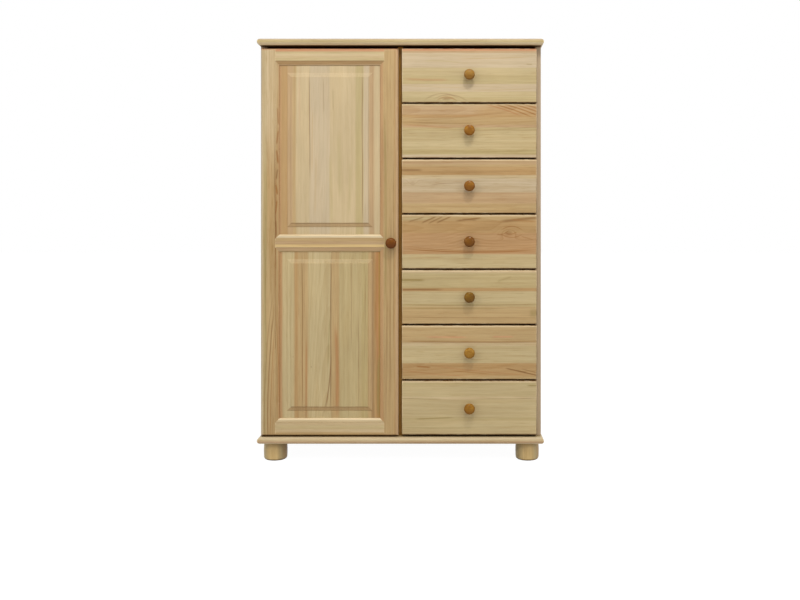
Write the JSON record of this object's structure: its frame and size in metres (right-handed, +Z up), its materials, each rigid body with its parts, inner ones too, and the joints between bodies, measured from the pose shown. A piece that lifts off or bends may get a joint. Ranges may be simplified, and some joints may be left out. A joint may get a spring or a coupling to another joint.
{
  "type": "wardrobe",
  "caption": "Free-standing pine wardrobe: a hinged framed door with raised panels beside a column of drawers with round knobs, on turned feet.",
  "frame": {"origin": "on the floor, at the middle of the whole piece in plan, knobs included", "axes": "+Z up; -Y towards the front, where the door and drawers open; +X towards the drawers"},
  "size_m": [1, 0.568, 1.481],
  "materials": {
    "lacquered_pine_board": "satin clear lacquer",
    "lacquered_pine_side": "satin clear lacquer",
    "lacquered_pine_frame": "satin clear lacquer",
    "lacquered_pine_panel": "satin clear lacquer",
    "lacquered_pine_front": "satin clear lacquer",
    "bare_pine": "sanded, bare",
    "back_board": "thin pressed board, smooth face",
    "stained_knob": "stained and lacquered, glossy",
    "foot_pine": "satin clear lacquer",
    "hinge_steel": "nickel plated"
  },
  "bodies": {
    "carcass": {"top_board": "lacquered_pine_board", "base_board": "lacquered_pine_board", "left_side": "lacquered_pine_side", "right_side": "lacquered_pine_side", "divider": "lacquered_pine_side", "back_panel": "back_board", "hat_shelf": "bare_pine", "hanging_rail": "bare_pine", "rail_socket_left": "bare_pine", "rail_socket_right": "bare_pine", "foot_front_left": "foot_pine", "shelf_pin_front_left": "hinge_steel", "foot_front_right": "foot_pine", "shelf_pin_front_right": "hinge_steel", "foot_back_left": "foot_pine", "shelf_pin_back_left": "hinge_steel", "foot_back_right": "foot_pine", "shelf_pin_back_right": "hinge_steel", "hinge_arm_1": "hinge_steel", "hinge_arm_2": "hinge_steel", "hinge_arm_3": "hinge_steel"},
    "door": {"door_left_stile": "lacquered_pine_frame", "door_right_stile": "lacquered_pine_frame", "door_top_rail": "lacquered_pine_frame", "door_mid_rail": "lacquered_pine_frame", "door_bottom_rail": "lacquered_pine_frame", "door_upper_panel": "lacquered_pine_panel", "door_lower_panel": "lacquered_pine_panel", "door_knob": "stained_knob", "hinge_cup_1": "hinge_steel", "hinge_cup_2": "hinge_steel", "hinge_cup_3": "hinge_steel"},
    "drawer_1": {"drawer_1_front": "lacquered_pine_front", "drawer_1_box": "bare_pine", "drawer_1_bottom": "back_board", "drawer_1_knob": "stained_knob"},
    "drawer_2": {"drawer_2_front": "lacquered_pine_front", "drawer_2_box": "bare_pine", "drawer_2_bottom": "back_board", "drawer_2_knob": "stained_knob"},
    "drawer_3": {"drawer_3_front": "lacquered_pine_front", "drawer_3_box": "bare_pine", "drawer_3_bottom": "back_board", "drawer_3_knob": "stained_knob"},
    "drawer_4": {"drawer_4_front": "lacquered_pine_front", "drawer_4_box": "bare_pine", "drawer_4_bottom": "back_board", "drawer_4_knob": "stained_knob"},
    "drawer_5": {"drawer_5_front": "lacquered_pine_front", "drawer_5_box": "bare_pine", "drawer_5_bottom": "back_board", "drawer_5_knob": "stained_knob"},
    "drawer_6": {"drawer_6_front": "lacquered_pine_front", "drawer_6_box": "bare_pine", "drawer_6_bottom": "back_board", "drawer_6_knob": "stained_knob"},
    "drawer_7": {"drawer_7_front": "lacquered_pine_front", "drawer_7_box": "bare_pine", "drawer_7_bottom": "back_board", "drawer_7_knob": "stained_knob"}
  },
  "joints": [
    {"name": "door_hinge", "type": "hinge", "parent": "carcass", "child": "door", "pos_m": [-0.483, -0.246, 0.7705], "axis": [0, 0, -1], "range_deg": [0, 100]},
    {"name": "drawer_1_slide", "type": "slide", "parent": "carcass", "child": "drawer_1", "axis": [0, -1, 0], "range_m": [0, 0.33]},
    {"name": "drawer_2_slide", "type": "slide", "parent": "carcass", "child": "drawer_2", "axis": [0, -1, 0], "range_m": [0, 0.33]},
    {"name": "drawer_3_slide", "type": "slide", "parent": "carcass", "child": "drawer_3", "axis": [0, -1, 0], "range_m": [0, 0.33]},
    {"name": "drawer_4_slide", "type": "slide", "parent": "carcass", "child": "drawer_4", "axis": [0, -1, 0], "range_m": [0, 0.33]},
    {"name": "drawer_5_slide", "type": "slide", "parent": "carcass", "child": "drawer_5", "axis": [0, -1, 0], "range_m": [0, 0.33]},
    {"name": "drawer_6_slide", "type": "slide", "parent": "carcass", "child": "drawer_6", "axis": [0, -1, 0], "range_m": [0, 0.33]},
    {"name": "drawer_7_slide", "type": "slide", "parent": "carcass", "child": "drawer_7", "axis": [0, -1, 0], "range_m": [0, 0.33]}
  ]
}
